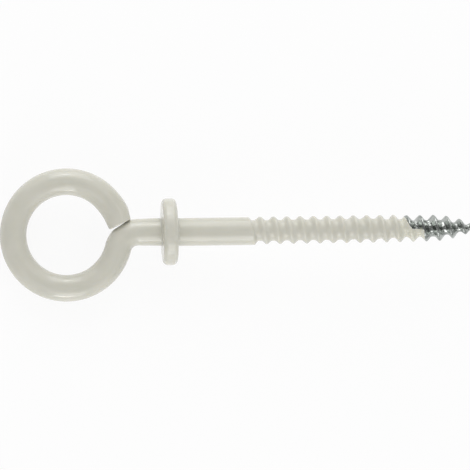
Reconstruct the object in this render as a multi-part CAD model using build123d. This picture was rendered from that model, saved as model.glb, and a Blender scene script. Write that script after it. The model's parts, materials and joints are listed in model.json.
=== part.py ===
"""Screw eye with a collar, in plastic-coated steel.

A steel wire is bent into a closed eye at one end and rolled into a coarse wood thread
with a gimlet point at the other. A collar stands out of the shank where the eye stops
against the wall. A plastic coat covers everything but the last turns at the point.

The screw is worked out in its own frame: X runs along the shank towards the point, with
X = 0 where the collar's face seats, Y lies in the plane of the eye, and Z stands square to it.
At the end both pieces are laid down as the screw eye comes to rest on a table.
Lengths are in millimetres.
"""

from build123d import *

import os
from dataclasses import dataclass
from itertools import pairwise
from math import atan2, cos, degrees, hypot, pi, radians, sin, sqrt

# The steel wire and its coat
STEEL_WIRE_D = 5.2
COATED_WIRE_D = 6.0
COATED_SHANK_D = 6.2

# The eye, whose middle lies a little below the shank's line, and the neck that leads to it
EYE_X = -24.8
EYE_Y = -0.4
EYE_R = 11.95
NECK_R = 4.7

# The free end of the eye opens out a little and is cut off at a slant, close to the neck
END_LEAVES_EYE_DEG = 45.0
END_R = 16.4
END_SWEEP_DEG = 24.5
END_SLANT_DEG = 9.0
END_SPARE_DEG = 8.0
END_COAT = 0.4
END_ROUNDING = 0.75

# The collar, in steel and over its coat
STEEL_COLLAR_D = 14.2
STEEL_COLLAR_THICKNESS = 2.5
STEEL_RIM_ROUNDING = 0.8
STEEL_HUB_FILLET = 0.5
COLLAR_COAT = 0.4
COATED_COLLAR_D = 15.0
COATED_COLLAR_THICKNESS = 3.3
COATED_RIM_ROUNDING = 1.1
COATED_HUB_FILLET = 0.55

# The thread, whose groove starts behind the shank and sinks to full depth in part of a turn
PITCH = 3.0
THREAD_X = 14.6
THREAD_START_DEG = 225.0
RUN_IN_TURNS = 0.6
PLAIN_LEAD = 0.4
ARCS_PER_TURN = 2
SPANS_PER_ARC = 6

# The gimlet point: the ridge follows a curve, the core a cone, and the last turns crowd together
STEEL_TURNS = 18
TAPER_X = 57.5
TAPER_LENGTH = 10.8
CROWDED_TURNS = 2.5
CROWDED_PITCH = 0.05
POINT_X = 68.3
POINT_R = 0.12

# The coat thins out in the grooves before its slanting end, near the point
COAT_TURNS = 14
COAT_THINS_FROM_X = 43.5
COAT_THINS_TO_X = 48.0
COAT_THIN_ROOT_R = 2.13
COAT_END_X = 53.2
COAT_END_SLANT_DEG = 30.0

# The neck and the ring weigh a little more on one side of the shank, which rolls it over so far
ROLLED_DEG = 8.0


@dataclass
class ThreadForm:
    """One turn across the thread: a root and a crest, joined by two equal flanks."""

    root_r: float
    crest_r: float
    root_flat: float
    crest_flat: float

    def lanes(self):
        """The lines from crest to crest, as (mm on from the crest's middle, share of the depth)."""
        half_crest = self.crest_flat / 2
        flank = (PITCH - self.root_flat - self.crest_flat) / 2
        root = half_crest + flank
        lanes = [(half_crest, 0), (root, 1), (PITCH - root, 1), (PITCH - half_crest, 0)]
        if self.crest_flat > 0:
            lanes.append((PITCH + half_crest, 0))
        return lanes


STEEL_THREAD = ThreadForm(root_r=2.0, crest_r=3.0, root_flat=1.4, crest_flat=0.0)
COAT_THREAD = ThreadForm(root_r=2.33, crest_r=COATED_SHANK_D / 2, root_flat=1.1, crest_flat=0.4)


def mixed(start, end, share):
    return start + (end - start) * min(max(share, 0.0), 1.0)


def eased(share):
    """0 to 1 with a level start and finish."""
    share = mixed(0.0, 1.0, share)
    return share * share * (3 - 2 * share)


def on_helix(place, turns):
    """The point of a helix-like line after some turns, where place(turns) gives (x, radius)."""
    x, radius = place(turns)
    angle = radians(THREAD_START_DEG) + 2 * pi * turns
    return Vector(x, radius * cos(angle), radius * sin(angle))


def helix_arc(place, arc):
    """The line's arc of that number, as an edge that runs smoothly on into the next."""
    start, end = arc / ARCS_PER_TURN, (arc + 1) / ARCS_PER_TURN
    shares = [k / SPANS_PER_ARC for k in range(SPANS_PER_ARC + 1)]
    points = [on_helix(place, mixed(start, end, share)) for share in shares]
    small = 1e-4
    speeds = [
        (on_helix(place, at + small) - on_helix(place, at - small)) * (end - start) / (2 * small)
        for at in (start, end)
    ]
    return Edge.make_spline(points, tangents=speeds, parameters=shares, scale=False)


def circle_arcs(x, radius):
    """The circle round the shank at x, in arcs that match those of a lane."""
    across = Plane(origin=(x, 0, 0), x_dir=(0, 1, 0), z_dir=(1, 0, 0))
    ends = [THREAD_START_DEG + arc * 360 / ARCS_PER_TURN for arc in range(ARCS_PER_TURN + 1)]
    return [
        Edge.make_circle(radius, across, start_angle=start, end_angle=end)
        for start, end in pairwise(ends)
    ]


def threaded_rod(form, turns, along, crest_r, root_r, end_x):
    """Solid rod with a thread of so many turns, from the plain shank to end_x.

    along(turns) is how far along the shank the crest has come, and crest_r(x) and root_r(x)
    are the radii there. Ruled faces from lane to lane go round the rod, arc after arc.
    """

    def lane(offset, depth, arc):
        def place(turns):
            x = along(turns + offset / PITCH)
            sunk = depth * eased(turns / RUN_IN_TURNS)
            return x, mixed(crest_r(x), root_r(x), sunk)

        return helix_arc(place, arc)

    lanes = form.lanes()
    arcs = turns * ARCS_PER_TURN
    start = circle_arcs(THREAD_X - PLAIN_LEAD, crest_r(THREAD_X - PLAIN_LEAD))
    end = circle_arcs(end_x, crest_r(end_x))
    faces = [Face(Wire(start)), Face(Wire(end))]
    for arc in range(ARCS_PER_TURN):
        last_arc = arcs - ARCS_PER_TURN + arc
        faces.append(Face.make_surface_from_curves(start[arc], lane(*lanes[0], arc)))
        faces.append(Face.make_surface_from_curves(lane(*lanes[-1], last_arc), end[arc]))
    for arc in range(arcs):
        for near, far in pairwise(lanes):
            faces.append(Face.make_surface_from_curves(lane(*near, arc), lane(*far, arc)))
    return Solid(Shell(faces))


def steel_thread():
    """The rolled thread down to the gimlet point, its ridge standing above the wire."""
    crowding_from = STEEL_TURNS + 1 - CROWDED_TURNS

    def along(turns):
        crowded = max(turns - crowding_from, 0.0)
        lost = (1 - CROWDED_PITCH) * crowded**2 / (2 * CROWDED_TURNS)
        return THREAD_X + PITCH * (turns - lost)

    tip_x = along(STEEL_TURNS)
    tip_r = STEEL_THREAD.crest_r * (1 - ((tip_x - TAPER_X) / TAPER_LENGTH) ** 2)

    def plain_tip(x):
        return mixed(tip_r, POINT_R, (x - tip_x) / (POINT_X - tip_x))

    def crest_r(x):
        if x > tip_x:
            return plain_tip(x)
        rise = (x - THREAD_X + PLAIN_LEAD) / (PITCH + PLAIN_LEAD)
        taper = mixed(0.0, 1.0, (x - TAPER_X) / TAPER_LENGTH)
        return mixed(STEEL_WIRE_D / 2, STEEL_THREAD.crest_r, rise) * (1 - taper**2)

    def root_r(x):
        if x > tip_x:
            return plain_tip(x)
        return mixed(STEEL_THREAD.root_r, tip_r, eased((x - TAPER_X) / (tip_x - TAPER_X)))

    return threaded_rod(STEEL_THREAD, STEEL_TURNS, along, crest_r, root_r, POINT_X)


def coat_thread():
    """The coat's softer thread, run on past the place where the coat is cut off."""
    fade_end_x = THREAD_X + PITCH * COAT_TURNS
    fade_x = fade_end_x - PITCH / 2

    def along(turns):
        return THREAD_X + PITCH * turns

    def crest_r(x):
        return COAT_THREAD.crest_r

    def root_r(x):
        thinned = eased((x - COAT_THINS_FROM_X) / (COAT_THINS_TO_X - COAT_THINS_FROM_X))
        root = mixed(COAT_THREAD.root_r, COAT_THIN_ROOT_R, thinned)
        return mixed(root, COAT_THREAD.crest_r, (x - fade_x) / (fade_end_x - fade_x))

    end_x = fade_end_x + 2 * PITCH
    return threaded_rod(COAT_THREAD, COAT_TURNS, along, crest_r, root_r, end_x)


def polar(x, y, radius, angle_deg):
    return Vector(x + radius * cos(radians(angle_deg)), y + radius * sin(radians(angle_deg)))


def bar_bend(centre, radius, from_deg, sweep_deg, bar_d):
    """Round bar bent about centre in the plane of the eye."""
    section_place = Plane(
        origin=polar(centre.X, centre.Y, radius, from_deg),
        x_dir=(0, 0, 1),
        z_dir=polar(0, 0, 1, from_deg + 90),
    )
    axis = Axis(centre, (0, 0, 1))
    return revolve(section_place * Circle(bar_d / 2), axis=axis, revolution_arc=sweep_deg)


def neck_centre():
    """Middle of the neck's bend, which touches the shank's line and the eye's circle."""
    y = -NECK_R
    x = EYE_X + sqrt((EYE_R + NECK_R) ** 2 - (y - EYE_Y) ** 2)
    return Vector(x, y)


def eye(bar_d, rounding, end_setback):
    """The neck, the ring and its free end, in round bar of one thickness."""
    ring_centre = Vector(EYE_X, EYE_Y)
    neck = neck_centre()
    joins_neck_deg = degrees(atan2(neck.Y - EYE_Y, neck.X - EYE_X))
    end_centre = polar(EYE_X, EYE_Y, EYE_R - END_R, END_LEAVES_EYE_DEG)
    end_deg = END_LEAVES_EYE_DEG - END_SWEEP_DEG

    neck_bar = bar_bend(neck, NECK_R, 90, 90 + joins_neck_deg, bar_d)
    ring_sweep = 360 + joins_neck_deg - END_LEAVES_EYE_DEG
    ring_bar = bar_bend(ring_centre, EYE_R, END_LEAVES_EYE_DEG, ring_sweep, bar_d)
    spare_end = bar_bend(
        end_centre, END_R, end_deg - END_SPARE_DEG, END_SWEEP_DEG + END_SPARE_DEG, bar_d
    )
    end_face = Plane(
        origin=polar(end_centre.X, end_centre.Y, END_R, end_deg),
        z_dir=polar(0, 0, 1, end_deg + END_SLANT_DEG - 90),
    ).offset(-end_setback)
    end_bar = split(spare_end, bisect_by=end_face, keep=Keep.BOTTOM)
    end_bar = fillet(end_bar.faces().filter_by(end_face).edges(), rounding)
    return neck_bar + ring_bar + end_bar


def turned_shank(neck_r, shank_r, collar_r, back_x, seat_x, hub_fillet, rim_rounding, end_x):
    """The shank from the neck to end_x with its collar, turned about X."""
    neck_x = neck_centre().X
    edge = FilletPolyline(
        (neck_x, neck_r),
        (back_x, shank_r),
        (back_x, collar_r),
        (seat_x, collar_r),
        (seat_x, shank_r),
        (end_x, shank_r),
        radius=[hub_fillet, rim_rounding, rim_rounding, hub_fillet],
    )
    middle = Polyline((neck_x, neck_r), (neck_x, 0), (end_x, 0), (end_x, shank_r))
    return revolve(make_face(edge + middle), axis=Axis.X, revolution_arc=360)


def steel_screw_eye():
    """The wire with its eye, collar, thread and point, as one piece of steel."""
    wire_r = STEEL_WIRE_D / 2
    shank = turned_shank(
        neck_r=wire_r,
        shank_r=wire_r,
        collar_r=STEEL_COLLAR_D / 2,
        back_x=-COLLAR_COAT - STEEL_COLLAR_THICKNESS,
        seat_x=-COLLAR_COAT,
        hub_fillet=STEEL_HUB_FILLET,
        rim_rounding=STEEL_RIM_ROUNDING,
        end_x=THREAD_X - PLAIN_LEAD,
    )
    return eye(STEEL_WIRE_D, END_ROUNDING, END_COAT) + shank + steel_thread()


def plastic_coat(steel):
    """The coat: its outer form up to the slanting end, less the steel inside."""
    shank = turned_shank(
        neck_r=COATED_WIRE_D / 2,
        shank_r=COATED_SHANK_D / 2,
        collar_r=COATED_COLLAR_D / 2,
        back_x=-COATED_COLLAR_THICKNESS,
        seat_x=0.0,
        hub_fillet=COATED_HUB_FILLET,
        rim_rounding=COATED_RIM_ROUNDING,
        end_x=THREAD_X - PLAIN_LEAD,
    )
    coat_end = Plane(
        origin=(COAT_END_X, 0, 0),
        z_dir=polar(0, 0, 1, COAT_END_SLANT_DEG),
    )
    thread = split(coat_thread(), bisect_by=coat_end, keep=Keep.BOTTOM)
    return eye(COATED_WIRE_D, END_ROUNDING, 0.0) + shank + thread - steel


def tilt_at_rest(roll):
    """How far the shank rises when the ring and the collar's rim both lie on the table."""
    rim_x = COATED_RIM_ROUNDING - COATED_COLLAR_THICKNESS
    rim_r = COATED_COLLAR_D / 2 - COATED_RIM_ROUNDING
    low, high = 0.0, pi / 4
    while high - low > 1e-9:
        tilt = (low + high) / 2
        down = Vector(-sin(tilt), -cos(tilt) * sin(roll), -cos(tilt) * cos(roll))
        ring = down.dot(Vector(EYE_X, EYE_Y)) + EYE_R * hypot(down.X, down.Y) + COATED_WIRE_D / 2
        rim = down.X * rim_x + rim_r * hypot(down.Y, down.Z) + COATED_RIM_ROUNDING
        if ring < rim:
            low = tilt
        else:
            high = tilt
    return low


def as_it_lies(pieces):
    """The pieces rolled and tilted onto the ring and the collar's rim, about the origin."""
    tilt = tilt_at_rest(radians(ROLLED_DEG))
    laid = Rotation(0, -degrees(tilt), 0) * Rotation(ROLLED_DEG, 0, 0)
    pieces = [laid * piece for piece in pieces]
    box = Compound(pieces).bounding_box()
    to_origin = Location((-box.center().X, -box.center().Y, -box.min.Z))
    return [to_origin * piece for piece in pieces]


steel = steel_screw_eye()
coat = plastic_coat(steel)
os.makedirs("parts", exist_ok=True)
for name, piece in zip(("steel_screw_eye", "plastic_coat"), as_it_lies([steel, coat])):
    export_step(piece, f"parts/{name}.step")
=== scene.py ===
"""Looks of the screw eye: a glossy ivory plastic coat over bright zinc-plated steel.

Both pieces are worked out in the screw's own frame, in millimetres: X runs along the shank
towards the point, with X = 0 where the collar's face seats, Y lies in the plane of the eye,
and Z stands square to it. The record's mounts say how that frame lies on the table.
"""

import json
import math
from itertools import pairwise

import bpy
from mathutils import Matrix, Vector, noise


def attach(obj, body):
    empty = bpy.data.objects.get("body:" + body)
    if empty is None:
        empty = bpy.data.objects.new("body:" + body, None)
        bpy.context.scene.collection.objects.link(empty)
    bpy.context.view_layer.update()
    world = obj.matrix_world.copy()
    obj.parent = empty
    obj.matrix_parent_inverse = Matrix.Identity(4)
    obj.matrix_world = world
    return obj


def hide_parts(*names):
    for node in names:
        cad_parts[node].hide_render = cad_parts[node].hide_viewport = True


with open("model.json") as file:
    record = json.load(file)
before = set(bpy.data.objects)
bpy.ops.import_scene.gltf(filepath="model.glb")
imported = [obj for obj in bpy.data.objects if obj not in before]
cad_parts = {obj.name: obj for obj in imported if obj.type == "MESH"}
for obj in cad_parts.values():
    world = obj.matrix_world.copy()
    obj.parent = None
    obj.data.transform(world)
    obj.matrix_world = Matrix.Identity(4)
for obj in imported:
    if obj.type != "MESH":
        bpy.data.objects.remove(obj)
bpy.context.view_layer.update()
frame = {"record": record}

MM = 0.001

# The screw's own frame, as it lies on the table
MOUNTS = {mount["name"]: mount for mount in frame["record"]["mounts"]}
SEAT = Vector(MOUNTS["collar_seat"]["pos_m"])
ALONG = Vector(MOUNTS["collar_seat"]["axis"]).normalized()
UPWARD = Vector(MOUNTS["eye"]["axis"]).normalized()
ACROSS = UPWARD.cross(ALONG)

# The eye and the neck that leads to it
EYE_X = -24.8
EYE_Y = -0.4
EYE_R = 11.95
NECK_R = 4.7
NECK_Y = -NECK_R
NECK_X = EYE_X + math.sqrt((EYE_R + NECK_R) ** 2 - (NECK_Y - EYE_Y) ** 2)
JOINS_NECK_DEG = math.degrees(math.atan2(NECK_Y - EYE_Y, NECK_X - EYE_X))
END_LEAVES_EYE_DEG = 45.0
END_R = 16.4
END_SWEEP_DEG = 24.5
END_SLANT_DEG = 5.0
END_ROUNDING = 0.4
END_LEAD_DEG = 7.0
END_FACE_SHARES = (0.33, 0.66, 0.9)
BEND_STEP_DEG = 3.0
ROUNDING_STEPS = 8

# The neck is pressed flat where the free end lies against it, and so is that end's outer side
NECK_FLAT_DEG = 121.7
NECK_FLAT_REACH = 7.42
END_FLAT_DEG = 9.8
END_FLAT_REACH = 11.73
FLAT_SOFTNESS = 0.1

# The collar, whose face towards the thread is its seat, and the rings along the turned shank
COLLAR_LEAN_DEG = 0.7
COLLAR_CLEAR_OF_SHANK = 0.01
SUPPORT_MARGIN = 0.12
SUPPORTED_RUN = 4 * SUPPORT_MARGIN
RING_SPACING = 0.8
STEEL_COLLAR_R = 7.1
STEEL_BACK_X = -2.9
STEEL_SEAT_X = -0.4
STEEL_FILLET = 0.5
STEEL_RIM_ROUNDING = 0.8
COAT_COLLAR_R = 7.5
COAT_BACK_X = -3.3
COAT_SEAT_X = 0.0
COAT_FILLET = 0.55
COAT_RIM_ROUNDING = 1.1

# The thread, whose crest is at THREAD_X when it starts, at THREAD_START_DEG from Y towards Z
PITCH = 3.0
THREAD_X = 14.6
THREAD_START_DEG = 225.0
PLAIN_LEAD = 0.4
RUN_IN_TURNS = 0.6
POINTS_AROUND = 112
FLANK_SHARES = (
    0, 0.01, 0.022, 0.036, 0.052, 0.074, 0.1, 0.128,
    0.156, 0.184, 0.21, 0.24, 0.275, 0.32, 0.38, 0.44,
)

# The steel, with its gimlet point and the dents of its bare turns
STEEL_TURNS = 18
TAPER_X = 57.5
TAPER_LENGTH = 10.8
CROWDED_TURNS = 2.5
CROWDED_PITCH = 0.05
POINT_X = 68.298
POINT_R = 0.12
STEEL_ROOT_R = 2.0
STEEL_CREST_R = 3.0
STEEL_WIRE_R = 2.6
STEEL_END_SETBACK = 0.4
STEEL_RIDGE = {"half_crest": 0.05, "flank": 0.85, "rounding": 0.18, "softness": 0.4}
DENTS_FROM_X = 49.5
DENTS_PER_MM = 1.3
DENTS_AROUND = 3.5
DENT_DEPTH = 0.3
CREST_DENTS = 0.3

# The coat, which thins out before it ends on the steel
COAT_TURNS = 14
COAT_BAR_R = 3.0
COAT_EYE_R = 2.99
COAT_END_SETBACK = -0.3
COAT_RIDGE = {"half_crest": 0.1, "flank": 0.74, "rounding": 0.16, "softness": 0.45}
COAT_ROOT_R = 2.33
COAT_CREST_R = 3.1
THIN_ROOT_R = 2.1
THINS_FROM_X = 43.5
THINS_TO_X = 48.0
SKIN_X = 49.9
SKIN_STEP = 0.7
SKIN_LATER_BELOW = 0.8
SKIN = 0.03
CREASE = 0.22
CREASES_ALONG = 0.35
CREASES_AROUND = 1.7
SUNK = 0.06
SINKS_OVER = 0.25
CLOSES_OVER = 0.5
COAT_CORE_R = 1.4
COAT_CORE_END = 0.2
SHANK_R = 3.13
SHANK_SHIFT = 0.1
STEP_X = 16.6
STEP_SLANT = 0.75
STEP_LENGTH = 0.7
COAT_RUN_IN_TURNS = 0.35

# Where the coat ends, as (degrees from Y towards Z, X). Towards +Y it follows the flank of one ridge,
# and towards -Y it ends a groove further on
COAT_ENDS = (
    (0, 51.1),
    (50, 51.5),
    (75, 52.0),
    (90, 52.6),
    (97, 55.3),
    (150, 55.5),
    (180, 55.6),
    (230, 54.0),
    (300, 52.0),
    (360, 51.1),
)

# Colours, as they look on a screen
IVORY_DARKER = "CFCEC2"
IVORY_LIGHTER = "D6D4C9"
IVORY_THIN = "DAD9CC"
ZINC_DARKER = "787C79"
ZINC_LIGHTER = "C0C4C0"
NOISE_LOW = 0.25
NOISE_HIGH = 0.75

# The studio, in metres
FLOOR_HALF = 6.0
FLOOR_SHINE = 0.9
FLOOR_BOUNCE = 0.9
FLOOR_WHITE = 0.95
WORLD_LEVEL = 0.47
SIDE_LEVEL = 0.9
CARD_LEVEL = 0.3
CARD_HALF = (1.3, 0.7)
CARD_HEIGHT = 1.5
END_CARD_HALF = (0.4, 0.5)
END_CARD_X = 0.5
END_CARD_Z = 0.42
LAMP_DISTANCE = 0.6
WINDOW_LENGTH = 0.04
WINDOW_HEIGHT = 0.05
WINDOW_DISTANCE = 0.2
WINDOW_X = -0.045

# The camera, whose picture is square. The eye's middle is at EYE_PX in it
IMAGE_PX = 470
EYE_PX = (66.4, 235.0)
MM_PER_PX = 0.2241
VIEW_PITCH_DEG = 4.0
VIEW_ROLL_DEG = 0.81
CAMERA_DISTANCE = 2.0
SENSOR_MM = 36


def mixed(start, end, share):
    return start + (end - start) * min(max(share, 0.0), 1.0)


def eased(share):
    """0 to 1 with a level start and finish."""
    share = mixed(0.0, 1.0, share)
    return share * share * (3 - 2 * share)


def soft_min(a, b, softness):
    """The smaller of two values, with the corner where they meet rounded off."""
    near = max(softness - abs(a - b), 0.0) / softness
    return min(a, b) - near * near * softness / 4


def placed(point):
    """A point of the screw's own frame, as it lies in the row frame."""
    return SEAT + (ALONG * point[0] + ACROSS * point[1] + UPWARD * point[2]) * MM


class Skin:
    """Points and faces of one piece, made ring after ring from the eye's end to the point."""

    def __init__(self):
        self.points = []
        self.faces = []
        self.thin = []

    def point(self, x, y, z, thin=0.0):
        self.points.append((x, y, z))
        self.thin.append(thin)
        return len(self.points) - 1

    def around(self, place):
        """One ring, where place(angle) gives the point at an angle from Y towards Z."""
        step = 2 * math.pi / POINTS_AROUND
        start = math.radians(THREAD_START_DEG)
        return [self.point(*place(start + step * k)) for k in range(POINTS_AROUND)]

    def join(self, near, far):
        for k in range(POINTS_AROUND):
            after = (k + 1) % POINTS_AROUND
            self.faces.append((near[k], near[after], far[after], far[k]))

    def close_start(self, ring, middle):
        for k in range(POINTS_AROUND):
            self.faces.append((middle, ring[(k + 1) % POINTS_AROUND], ring[k]))

    def close_end(self, ring, middle):
        for k in range(POINTS_AROUND):
            self.faces.append((ring[k], ring[(k + 1) % POINTS_AROUND], middle))

    def made(self, name, material):
        mesh = bpy.data.meshes.new(name)
        mesh.from_pydata([placed(point) for point in self.points], [], self.faces)
        mesh.shade_smooth()
        mesh.attributes.new("thin", "FLOAT", "POINT").data.foreach_set("value", self.thin)
        mesh.materials.append(material)
        piece = bpy.data.objects.new(name, mesh)
        bpy.context.scene.collection.objects.link(piece)
        return piece


# The bent bar of the eye


def bar_rings(skin, centre, bend_r, from_deg, to_deg, bar_r, first=1):
    """Rings round a bar bent about centre, from one angle to another.

    The ring at the first angle is left out where the bar before it has made it.
    """
    steps = math.ceil(abs(to_deg - from_deg) / BEND_STEP_DEG)
    turn = 1 if to_deg > from_deg else -1
    rings = []
    for step in range(first, steps + 1):
        at = math.radians(mixed(from_deg, to_deg, step / steps))

        def place(angle):
            reach = bend_r - turn * bar_r * math.cos(angle)
            x = centre[0] + reach * math.cos(at)
            y = centre[1] + reach * math.sin(at)
            return x, y, bar_r * math.sin(angle)

        rings.append(skin.around(place))
    return rings


def cut_end_rings(skin, centre, bar_r, setback):
    """Rings of the free end: its slanting face, then the rounded edge of that face."""
    end_deg = END_LEAVES_EYE_DEG - END_SWEEP_DEG
    slant = math.radians(END_SLANT_DEG)
    face = [(bar_r - END_ROUNDING) * share for share in END_FACE_SHARES]
    sections = [(radius, 0.0) for radius in face]
    for step in range(ROUNDING_STEPS + 1):
        bend = math.pi / 2 * (1 - step / ROUNDING_STEPS)
        radius = bar_r - END_ROUNDING * (1 - math.cos(bend))
        sections.append((radius, END_ROUNDING * (1 - math.sin(bend))))
    rings = []
    for radius, depth in sections:

        def place(angle):
            inward = radius * math.cos(angle)
            back = (setback + depth) / math.cos(slant) - math.tan(slant) * inward
            at = math.radians(end_deg) + back / (END_R - inward)
            x = centre[0] + (END_R - inward) * math.cos(at)
            y = centre[1] + (END_R - inward) * math.sin(at)
            return x, y, radius * math.sin(angle)

        rings.append(skin.around(place))
    return rings


def press(skin, rings, centre, at_deg, most):
    """Flattens what reaches further than most from the centre, in the direction at_deg."""
    at = math.radians(at_deg)
    for k in (k for ring in rings for k in ring):
        x, y, z = skin.points[k]
        reach = (x - centre[0]) * math.cos(at) + (y - centre[1]) * math.sin(at)
        back = soft_min(reach, most, FLAT_SOFTNESS) - reach
        skin.points[k] = (x + back * math.cos(at), y + back * math.sin(at), z)


def eye_rings(skin, bar_r, setback):
    """The free end, the ring and the neck. The last ring stands where the straight shank starts."""
    leaves = math.radians(END_LEAVES_EYE_DEG)
    end_centre = (
        EYE_X + (EYE_R - END_R) * math.cos(leaves),
        EYE_Y + (EYE_R - END_R) * math.sin(leaves),
    )
    end_deg = END_LEAVES_EYE_DEG - END_SWEEP_DEG
    rings = cut_end_rings(skin, end_centre, bar_r, setback)
    middle = [sum(skin.points[k][axis] for k in rings[0]) / POINTS_AROUND for axis in range(3)]
    skin.close_start(rings[0], skin.point(*middle))
    rings += bar_rings(skin, end_centre, END_R, end_deg + END_LEAD_DEG, END_LEAVES_EYE_DEG, bar_r, 0)
    press(skin, rings, (EYE_X, EYE_Y), END_FLAT_DEG, END_FLAT_REACH + bar_r)
    rings += bar_rings(skin, (EYE_X, EYE_Y), EYE_R, END_LEAVES_EYE_DEG, 360 + JOINS_NECK_DEG, bar_r)
    neck = bar_rings(skin, (NECK_X, NECK_Y), NECK_R, 180 + JOINS_NECK_DEG, 90, bar_r)
    press(skin, neck, (NECK_X, NECK_Y), NECK_FLAT_DEG, NECK_FLAT_REACH)
    return rings + neck


# The turned shank with its collar


def rounded_outline(corners, roundings):
    """Points (x, radius) along an outline whose inner corners are rounded off."""
    outline = [corners[0]]
    for before, corner, after, rounding in zip(corners, corners[1:], corners[2:], roundings):
        back = (Vector(before) - Vector(corner)).normalized()
        on = (Vector(after) - Vector(corner)).normalized()
        half = back.angle(on) / 2
        middle = Vector(corner) + (back + on).normalized() * rounding / math.sin(half)
        first = Vector(corner) + back * rounding / math.tan(half)
        last = Vector(corner) + on * rounding / math.tan(half)
        sweep = (first - middle).angle_signed(last - middle)
        for step in range(ROUNDING_STEPS + 1):
            spoke = Matrix.Rotation(-sweep * step / ROUNDING_STEPS, 2) @ (first - middle)
            outline.append(tuple(middle + spoke))
    outline.append(corners[-1])
    return outline


def with_support(outline):
    """The outline with extra points near the ends of its long runs, which keep them straight."""
    points = [outline[0]]
    for near, far in pairwise(outline):
        length = math.dist(near, far)
        if length > SUPPORTED_RUN:
            runs = max(math.ceil(length / RING_SPACING), 1)
            inner = [length * k / runs for k in range(1, runs)]
            places = [SUPPORT_MARGIN] + inner + [length - SUPPORT_MARGIN]
            points += [tuple(Vector(near).lerp(Vector(far), place / length)) for place in places]
        points.append(far)
    return points


def shank_rings(skin, bar_r, shank_r, collar_r, back_x, seat_x, hub_fillet, rim_rounding, shift):
    """The shank up to the thread, with its collar, which leans a little.

    Past the collar, the shank lies off the screw's line by the shift.
    """
    outline = rounded_outline(
        [
            (NECK_X, bar_r),
            (back_x, shank_r),
            (back_x, collar_r),
            (seat_x, collar_r),
            (seat_x, shank_r),
            (THREAD_X - PLAIN_LEAD, shank_r),
        ],
        [hub_fillet, rim_rounding, rim_rounding, hub_fillet],
    )
    lean = math.tan(math.radians(COLLAR_LEAN_DEG))
    rings = []
    for x, radius in with_support(outline)[1:]:
        leaning = lean if radius > shank_r + COLLAR_CLEAR_OF_SHANK else 0.0
        aside = shift * eased((x - seat_x) / hub_fillet)

        def place(angle):
            y = radius * math.cos(angle)
            return x - leaning * y, y - aside, radius * math.sin(angle)

        rings.append(skin.around(place))
    return rings


# The thread, laid in rows that wind round with it


def lanes():
    """The rows of one turn, as shares of the pitch from the crest's middle to the next crest's."""
    halves = [share for share in FLANK_SHARES if share > 0]
    return list(FLANK_SHARES) + [0.5] + [1 - share for share in reversed(halves)]


def wound_thread(skin, start_ring, turns, along, radius_at, end_ring):
    """The thread between two rings, in rows that wind round the rod.

    Where a row has come once round, it meets the row of the same lane in the next turn. So a
    column of first points, one turn longer than the rows, closes them all.
    """
    shares = lanes()
    count = len(shares)
    last = turns * count

    def point(row, k):
        turn, lane = divmod(row, count)
        done = turn + k / POINTS_AROUND
        angle = math.radians(THREAD_START_DEG) + 2 * math.pi * k / POINTS_AROUND
        x = along(done + shares[lane])
        radius, thin = radius_at(x, shares[lane], done, angle)
        return skin.point(x, radius * math.cos(angle), radius * math.sin(angle), thin)

    rows = [[point(row, k) for k in range(POINTS_AROUND)] for row in range(last + 1)]
    column = [row[0] for row in rows] + [point(last + 1 + k, 0) for k in range(count)]
    rows = [row + [column[k + count]] for k, row in enumerate(rows)]
    for near, far in pairwise(rows):
        for k in range(POINTS_AROUND):
            skin.faces.append((near[k], near[k + 1], far[k + 1], far[k]))

    first, tail = rows[0], rows[-1]
    for k in range(POINTS_AROUND - 1):
        skin.faces.append((start_ring[k], start_ring[k + 1], first[k + 1], first[k]))
    skin.faces.append((start_ring[-1], start_ring[0], *column[: count + 1], first[-2]))
    for k in range(1, POINTS_AROUND):
        after = (k + 1) % POINTS_AROUND
        skin.faces.append((tail[k], tail[k + 1], end_ring[after], end_ring[k]))
    skin.faces.append((tail[0], tail[1], end_ring[1], end_ring[0], *reversed(column[last + 1 :])))


def ridge_depth(share, half_crest, flank, rounding, softness):
    """Share of the full depth at a share of the pitch: 0 on the crest, 1 in the root."""
    offset = PITCH * min(share, 1 - share)
    from_crest = math.hypot(max(offset - half_crest, 0.0), rounding) - rounding
    return soft_min(from_crest / flank, 1.0, softness)


def steel_along(turns):
    crowded = max(turns - (STEEL_TURNS + 1 - CROWDED_TURNS), 0.0)
    lost = (1 - CROWDED_PITCH) * crowded**2 / (2 * CROWDED_TURNS)
    return THREAD_X + PITCH * (turns - lost)


TIP_X = steel_along(STEEL_TURNS)
TIP_R = STEEL_CREST_R * (1 - ((TIP_X - TAPER_X) / TAPER_LENGTH) ** 2)


def dent(x, angle):
    """How far the bare steel is dented, past the coat."""
    place = (DENTS_PER_MM * x, DENTS_AROUND * math.cos(angle), DENTS_AROUND * math.sin(angle))
    return DENT_DEPTH * eased(x - DENTS_FROM_X) * (0.5 + 0.5 * noise.noise(place))


def steel_radius(x, share, done, angle):
    """The bare steel's radius, from the plain wire to the gimlet point."""
    if x > TIP_X:
        return mixed(TIP_R, POINT_R, (x - TIP_X) / (POINT_X - TIP_X))
    rise = (x - THREAD_X + PLAIN_LEAD) / (PITCH + PLAIN_LEAD)
    taper = mixed(0.0, 1.0, (x - TAPER_X) / TAPER_LENGTH)
    crest = mixed(STEEL_WIRE_R, STEEL_CREST_R, rise) * (1 - taper**2)
    root = mixed(STEEL_ROOT_R, TIP_R, eased((x - TAPER_X) / (TIP_X - TAPER_X)))
    depth = ridge_depth(share, **STEEL_RIDGE) * eased(done / RUN_IN_TURNS)
    dented = dent(x, angle) * mixed(CREST_DENTS, 1.0, depth) * (1 - taper)
    return mixed(crest, root, depth) - dented


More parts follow.
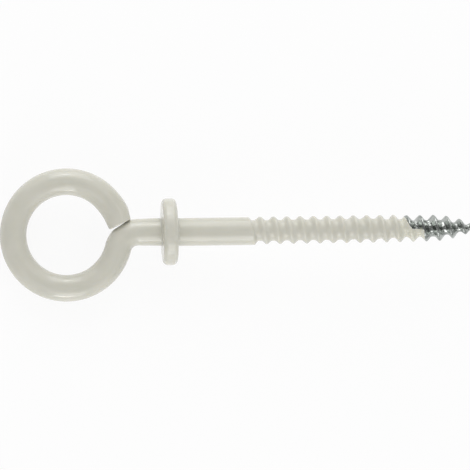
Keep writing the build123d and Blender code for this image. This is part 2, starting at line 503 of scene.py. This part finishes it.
def coat_end(angle):
    degrees = math.degrees(angle) % 360
    for (near_deg, near_x), (far_deg, far_x) in pairwise(COAT_ENDS):
        if degrees <= far_deg:
            return near_x + (far_x - near_x) * eased((degrees - near_deg) / (far_deg - near_deg))
    return COAT_ENDS[-1][1]


def coat_radius(x, share, done, angle):
    """The coat's radius, and 1 where it is only a thin skin on the steel."""
    steel = steel_radius(x, share, done, angle)
    thins = eased((x - THINS_FROM_X) / (THINS_TO_X - THINS_FROM_X))
    root = mixed(COAT_ROOT_R, THIN_ROOT_R, thins)
    depth = ridge_depth(share, **COAT_RIDGE) * eased(done / COAT_RUN_IN_TURNS)
    thick = max(mixed(COAT_CREST_R, root, depth), steel + SKIN)
    threaded = eased((x - STEP_X + STEP_SLANT * math.cos(angle)) / STEP_LENGTH)
    thick = mixed(SHANK_R - SHANK_SHIFT * math.cos(angle), thick, threaded)
    below = eased((math.degrees(angle) % 360 - 90) / 90)
    thin = eased((x - SKIN_X - SKIN_LATER_BELOW * below) / SKIN_STEP)
    around = CREASES_AROUND * steel
    place = (CREASES_ALONG * x, around * math.cos(angle), around * math.sin(angle))
    radius = mixed(thick, steel + SKIN + CREASE * abs(noise.noise(place)), thin)
    past = x - coat_end(angle)
    radius = mixed(radius, steel - SUNK, eased(past / SINKS_OVER))
    return mixed(radius, COAT_CORE_R, eased((past - SINKS_OVER) / CLOSES_OVER)), thin


def circle(x, radius):
    def place(angle):
        return x, radius * math.cos(angle), radius * math.sin(angle)

    return place


def steel_piece(material):
    skin = Skin()
    rings = eye_rings(skin, STEEL_WIRE_R, STEEL_END_SETBACK)
    rings += shank_rings(
        skin,
        bar_r=STEEL_WIRE_R,
        shank_r=STEEL_WIRE_R,
        collar_r=STEEL_COLLAR_R,
        back_x=STEEL_BACK_X,
        seat_x=STEEL_SEAT_X,
        hub_fillet=STEEL_FILLET,
        rim_rounding=STEEL_RIM_ROUNDING,
        shift=0.0,
    )
    for near, far in pairwise(rings):
        skin.join(near, far)
    point = skin.around(circle(POINT_X, POINT_R))

    def radius_at(x, share, done, angle):
        return steel_radius(x, share, done, angle), 0.0

    wound_thread(skin, rings[-1], STEEL_TURNS, steel_along, radius_at, point)
    skin.close_end(point, skin.point(POINT_X, 0, 0))
    return skin.made("zinc_plated_steel", material)


def coat_piece(material):
    skin = Skin()
    rings = eye_rings(skin, COAT_EYE_R, COAT_END_SETBACK)
    rings += shank_rings(
        skin,
        bar_r=COAT_BAR_R,
        shank_r=SHANK_R,
        collar_r=COAT_COLLAR_R,
        back_x=COAT_BACK_X,
        seat_x=COAT_SEAT_X,
        hub_fillet=COAT_FILLET,
        rim_rounding=COAT_RIM_ROUNDING,
        shift=SHANK_SHIFT,
    )
    for near, far in pairwise(rings):
        skin.join(near, far)
    end_x = steel_along(COAT_TURNS + 1) + COAT_CORE_END
    end = skin.around(circle(end_x, COAT_CORE_R))
    wound_thread(skin, rings[-1], COAT_TURNS, steel_along, coat_radius, end)
    skin.close_end(end, skin.point(end_x, 0, 0))
    return skin.made("ivory_plastic_coat", material)


# Materials


def linear(hex_colour):
    """A colour written as it looks on a screen, as the shader takes it."""
    channels = [int(hex_colour[k : k + 2], 16) / 255 for k in (0, 2, 4)]
    return [c / 12.92 if c <= 0.04045 else ((c + 0.055) / 1.055) ** 2.4 for c in channels] + [1.0]


class Nodes:
    """Adds nodes to a material and joins them."""

    def __init__(self, owner):
        owner.use_nodes = True
        self.tree = owner.node_tree
        self.tree.nodes.clear()

    def add(self, kind, inputs=None, **settings):
        node = self.tree.nodes.new(kind)
        for name, value in settings.items():
            setattr(node, name, value)
        for name, value in (inputs or {}).items():
            if isinstance(value, bpy.types.NodeSocket):
                self.tree.links.new(value, node.inputs[name])
            else:
                node.inputs[name].default_value = value
        return node

    def math(self, operation, first, second):
        inputs = {0: first, 1: second}
        return self.add("ShaderNodeMath", inputs, operation=operation).outputs[0]

    def noise(self, place, per_mm, detail=2.0):
        """Noise with so many waves in a millimetre, from about 0 to 1."""
        inputs = {"Vector": place, "Scale": per_mm / MM, "Detail": detail}
        return self.add("ShaderNodeTexNoise", inputs).outputs["Fac"]

    def ranged(self, noise_value, low, high):
        """Noise spread over a range of its own."""
        inputs = {"Value": noise_value, "From Min": NOISE_LOW, "From Max": NOISE_HIGH}
        inputs |= {"To Min": low, "To Max": high}
        return self.add("ShaderNodeMapRange", inputs).outputs["Result"]

    def blend(self, share, first, second):
        node = self.add("ShaderNodeMix", data_type="RGBA")
        # Of this node's sockets, 0 is the share and 6 and 7 are its two colours
        for place, value in ((0, share), (6, first), (7, second)):
            socket = node.inputs[place]
            if isinstance(value, bpy.types.NodeSocket):
                self.tree.links.new(value, socket)
            else:
                socket.default_value = value
        return node.outputs[2]


def ivory_plastic():
    material = bpy.data.materials.new("ivory_plastic")
    nodes = Nodes(material)
    place = nodes.add("ShaderNodeTexCoord").outputs["Object"]
    thin = nodes.add("ShaderNodeAttribute", attribute_name="thin").outputs["Fac"]
    clouds = nodes.ranged(nodes.noise(place, per_mm=0.2), low=0.0, high=1.0)
    colour = nodes.blend(clouds, linear(IVORY_DARKER), linear(IVORY_LIGHTER))
    colour = nodes.blend(thin, colour, linear(IVORY_THIN))
    roughness = nodes.ranged(nodes.noise(place, per_mm=0.6), low=0.1, high=0.15)
    ripples = nodes.add(
        "ShaderNodeBump",
        {
            "Height": nodes.noise(place, per_mm=0.7, detail=3.0),
            "Strength": 0.1,
            "Distance": 0.04 * MM,
        },
    )
    shader = nodes.add(
        "ShaderNodeBsdfPrincipled",
        {
            "Base Color": colour,
            "Roughness": roughness,
            "IOR": 1.5,
            "Subsurface Weight": 0.35,
            "Subsurface Radius": (1.0, 0.9, 0.7),
            "Subsurface Scale": 0.5 * MM,
            "Normal": ripples.outputs["Normal"],
        },
    )
    nodes.add("ShaderNodeOutputMaterial", {"Surface": shader.outputs["BSDF"]})
    return material


def zinc_plated_steel():
    material = bpy.data.materials.new("zinc_plated_steel")
    nodes = Nodes(material)
    place = nodes.add("ShaderNodeTexCoord").outputs["Object"]
    patches = nodes.ranged(nodes.noise(place, per_mm=0.8), low=0.0, high=1.0)
    colour = nodes.blend(patches, linear(ZINC_DARKER), linear(ZINC_LIGHTER))
    roughness = nodes.ranged(nodes.noise(place, per_mm=1.5, detail=4.0), low=0.05, high=0.14)
    dents = nodes.add(
        "ShaderNodeBump",
        {
            "Height": nodes.noise(place, per_mm=1.6, detail=3.0),
            "Strength": 1.0,
            "Distance": 0.1 * MM,
        },
    )
    shader = nodes.add(
        "ShaderNodeBsdfPrincipled",
        {
            "Base Color": colour,
            "Metallic": 1.0,
            "Roughness": roughness,
            "Normal": dents.outputs["Normal"],
        },
    )
    nodes.add("ShaderNodeOutputMaterial", {"Surface": shader.outputs["BSDF"]})
    return material


# The studio: floor, cards, lamps, surroundings and camera


def seen_directly(nodes):
    """1 for the rays of the camera and of gloss and for those that glass sends on."""
    path = nodes.add("ShaderNodeLightPath").outputs
    direct = nodes.math("MAXIMUM", path["Is Camera Ray"], path["Is Transmission Ray"])
    return nodes.math("MAXIMUM", direct, path["Is Glossy Ray"])


def pale_floor():
    """A plain white floor. Where it is seen directly, it mostly shines, so its shadows are pale."""
    material = bpy.data.materials.new("pale_floor")
    nodes = Nodes(material)
    seen = seen_directly(nodes)
    grey, white = [(level, level, level, 1) for level in (FLOOR_BOUNCE, FLOOR_WHITE)]
    matt = nodes.add("ShaderNodeBsdfDiffuse", {"Color": nodes.blend(seen, grey, white)})
    shine = nodes.add("ShaderNodeEmission", {"Color": (1, 1, 1, 1), "Strength": 1.0})
    both = nodes.add("ShaderNodeMixShader", {"Fac": nodes.math("MULTIPLY", seen, FLOOR_SHINE)})
    nodes.tree.links.new(matt.outputs[0], both.inputs[1])
    nodes.tree.links.new(shine.outputs[0], both.inputs[2])
    nodes.add("ShaderNodeOutputMaterial", {"Surface": both.outputs[0]})
    return material


def flat_mesh(name, half_x, half_y, place, material, turn=(0, 0, 0)):
    """A flat rectangle that isn't part of the object."""
    mesh = bpy.data.meshes.new(name)
    corners = [(-half_x, -half_y, 0), (half_x, -half_y, 0), (half_x, half_y, 0), (-half_x, half_y, 0)]
    mesh.from_pydata(corners, [], [(0, 1, 2, 3)])
    mesh.materials.append(material)
    piece = bpy.data.objects.new(name, mesh)
    piece.location = place
    piece.rotation_euler = turn
    bpy.context.scene.collection.objects.link(piece)
    return piece


def dark_cards():
    """Cards above and at both ends, seen only in the gloss. They give the steel its darks."""
    material = bpy.data.materials.new("dark_card")
    nodes = Nodes(material)
    dark = nodes.add("ShaderNodeEmission", {"Color": (1, 1, 1, 1), "Strength": CARD_LEVEL})
    nodes.add("ShaderNodeOutputMaterial", {"Surface": dark.outputs[0]})
    upright = (0, math.pi / 2, 0)
    facing_down = UPWARD.to_track_quat("Z", "Y").to_euler()
    cards = [
        flat_mesh("card_above", *CARD_HALF, UPWARD * CARD_HEIGHT, material, facing_down),
        flat_mesh("card_eye_end", *END_CARD_HALF, (-END_CARD_X, 0, END_CARD_Z), material, upright),
        flat_mesh("card_point_end", *END_CARD_HALF, (END_CARD_X, 0, END_CARD_Z), material, upright),
    ]
    for card in cards:
        card.visible_camera = False
        card.visible_diffuse = False
        card.visible_shadow = False
        card.visible_transmission = False


def softbox(name, lean_deg, level, length, height, distance, x=0.0):
    """A long lamp beside the shank, leaning so far from straight overhead."""
    lean = math.radians(lean_deg)
    towards = Vector((0, math.sin(lean), math.cos(lean)))
    lamp = bpy.data.lights.new(name, "AREA")
    lamp.shape = "RECTANGLE"
    lamp.size = length
    lamp.size_y = height
    lamp.energy = level * math.pi * length * height
    piece = bpy.data.objects.new(name, lamp)
    piece.location = towards * distance + Vector((x, 0, 0))
    piece.rotation_euler = towards.to_track_quat("Z", "X").to_euler()
    piece.visible_camera = False
    bpy.context.scene.collection.objects.link(piece)
    return piece


def window(name, lean_deg, level):
    """A small bright lamp near the eye, seen only in the gloss of the bar."""
    lamp = softbox(name, lean_deg, level, WINDOW_LENGTH, WINDOW_HEIGHT, WINDOW_DISTANCE, WINDOW_X)
    lamp.visible_diffuse = False
    lamp.visible_transmission = False


def studio_world():
    """White where it is seen directly. Its light comes more from both sides of the shank."""
    world = bpy.data.worlds.new("studio")
    bpy.context.scene.world = world
    nodes = Nodes(world)
    direction = nodes.add("ShaderNodeTexCoord").outputs["Generated"]
    sideways = nodes.add("ShaderNodeSeparateXYZ", {"Vector": direction}).outputs["Y"]
    sides = nodes.math("MULTIPLY", nodes.math("MULTIPLY", sideways, sideways), SIDE_LEVEL)
    level = nodes.math("ADD", sides, WORLD_LEVEL)
    around = nodes.add("ShaderNodeBackground", {"Color": (1, 1, 1, 1), "Strength": level})
    white = nodes.add("ShaderNodeBackground", {"Color": (1, 1, 1, 1), "Strength": 1.0})
    both = nodes.add("ShaderNodeMixShader", {"Fac": seen_directly(nodes)})
    nodes.tree.links.new(around.outputs[0], both.inputs[1])
    nodes.tree.links.new(white.outputs[0], both.inputs[2])
    nodes.add("ShaderNodeOutputWorld", {"Surface": both.outputs[0]})


def photo_camera():
    """A long lens, looking down on the eye's plane from a little towards the eye's side."""
    pitch = math.radians(VIEW_PITCH_DEG)
    roll = math.radians(VIEW_ROLL_DEG)
    back = (UPWARD * math.cos(pitch) - ALONG * math.sin(pitch)).normalized()
    level_right = ACROSS.cross(back)
    right = level_right * math.cos(roll) - ACROSS * math.sin(roll)
    up = back.cross(right)
    eye = placed((EYE_X, EYE_Y, 0))
    middle = IMAGE_PX / 2
    from_eye = right * (middle - EYE_PX[0]) - up * (middle - EYE_PX[1])
    target = eye + from_eye * MM_PER_PX * MM
    camera = bpy.data.cameras.new("camera")
    camera.sensor_width = SENSOR_MM
    camera.lens = camera.sensor_width * CAMERA_DISTANCE / (IMAGE_PX * MM_PER_PX * MM)
    piece = bpy.data.objects.new("camera", camera)
    place = Matrix((right, up, back)).transposed().to_4x4()
    place.translation = target + back * CAMERA_DISTANCE
    piece.matrix_world = place
    bpy.context.scene.collection.objects.link(piece)
    bpy.context.scene.camera = piece


steel = steel_piece(zinc_plated_steel())
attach(steel, "root")
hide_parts("steel_screw_eye")

coat = coat_piece(ivory_plastic())
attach(coat, "root")
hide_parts("plastic_coat")

flat_mesh("floor", FLOOR_HALF, FLOOR_HALF, (0, 0, 0), pale_floor())
dark_cards()
softbox("lamp_above", lean_deg=61, level=1.8, length=0.5, height=0.4, distance=LAMP_DISTANCE)
softbox("lamp_below", lean_deg=-79, level=2.1, length=0.6, height=0.28, distance=LAMP_DISTANCE)
window("window_above", lean_deg=57, level=3.9)
window("window_below", lean_deg=-86, level=5.5)
studio_world()
photo_camera()
bpy.context.scene.view_settings.view_transform = "Standard"
